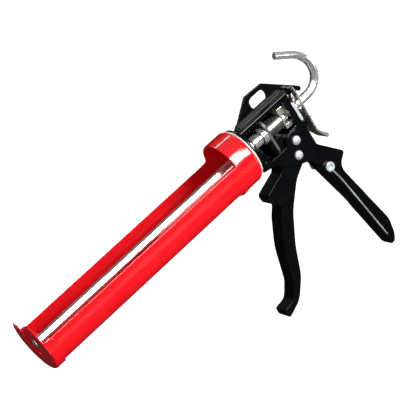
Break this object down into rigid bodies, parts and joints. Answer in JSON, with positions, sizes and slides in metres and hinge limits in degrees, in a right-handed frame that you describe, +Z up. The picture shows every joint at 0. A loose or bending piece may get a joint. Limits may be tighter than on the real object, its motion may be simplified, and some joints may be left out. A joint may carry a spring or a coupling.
{
  "type": "caulking gun",
  "caption": "Half-barrel caulking gun with a swivelling trough, hex push rod with hook, trigger thrust mechanism and thumb release.",
  "frame": {"origin": "grip point at the middle of the fixed handle", "axes": "+X towards the rod's hook along the rod, +Z up from the handle to the rod, -Y the side with the open window"},
  "size_m": [0.3764, 0.0568, 0.2354],
  "materials": {
    "red_enamel": "gloss",
    "black_enamel": "gloss",
    "zinc_plate": "bright",
    "chrome_plate": "polished",
    "nickel_plate": "satin",
    "dark_steel": "satin",
    "grey_steel": "satin",
    "spring_steel": "satin",
    "nylon": "satin"
  },
  "bodies": {
    "root": {"frame_left": "black_enamel", "frame_right": "black_enamel", "front_flange": "black_enamel", "upper_rivet": "zinc_plate", "pivot_rivet": "zinc_plate", "upper_spacer": "spring_steel", "handle_bolt": "zinc_plate", "handle_nut": "zinc_plate", "hub_washer": "nylon", "brake_spring": "spring_steel"},
    "barrel": {"barrel_shell": "red_enamel", "front_plate": "red_enamel", "barrel_disc": "red_enamel", "swivel_hub": "zinc_plate", "hub_circlip": "spring_steel", "swivel_washer": "nylon"},
    "rod": {"push_rod": "chrome_plate", "piston_disc": "red_enamel", "piston_washer": "zinc_plate"},
    "thrust": {"drive_tube": "chrome_plate", "drive_collar": "chrome_plate", "drive_plate": "dark_steel", "rear_sleeve": "grey_steel", "grip_yoke": "nickel_plate"},
    "trigger": {"trigger": "black_enamel", "trigger_spring": "spring_steel"},
    "release": {"release_lever": "nickel_plate", "brake_plate": "zinc_plate"}
  },
  "joints": [
    {"name": "barrel_swivel", "type": "hinge", "parent": "root", "child": "barrel", "pos_m": [-0.074, 0, 0.11], "axis": [1, 0, 0], "continuous": true},
    {"name": "rod_slide", "type": "slide", "parent": "root", "child": "rod", "axis": [1, 0, 0], "range_m": [0, 0.24]},
    {"name": "trigger_pull", "type": "hinge", "parent": "root", "child": "trigger", "pos_m": [-0.0298, 0, 0.075], "axis": [0, -1, 0], "range_deg": [0, 26], "stiffness_Nm_per_rad": 0.35, "springref_deg": -25.78},
    {"name": "thrust_slide", "type": "slide", "parent": "root", "child": "thrust", "axis": [-1, 0, 0], "range_m": [0, 0.0122]},
    {"name": "release_press", "type": "hinge", "parent": "root", "child": "release", "pos_m": [0.0005, 0, 0.13], "axis": [0, 1, 0], "range_deg": [0, 3.5], "stiffness_Nm_per_rad": 1, "springref_deg": -5.73}
  ],
  "couplings": [
    {"joint": "thrust_slide", "follows": "trigger_pull", "m_per_rad": 0.0265}
  ]
}
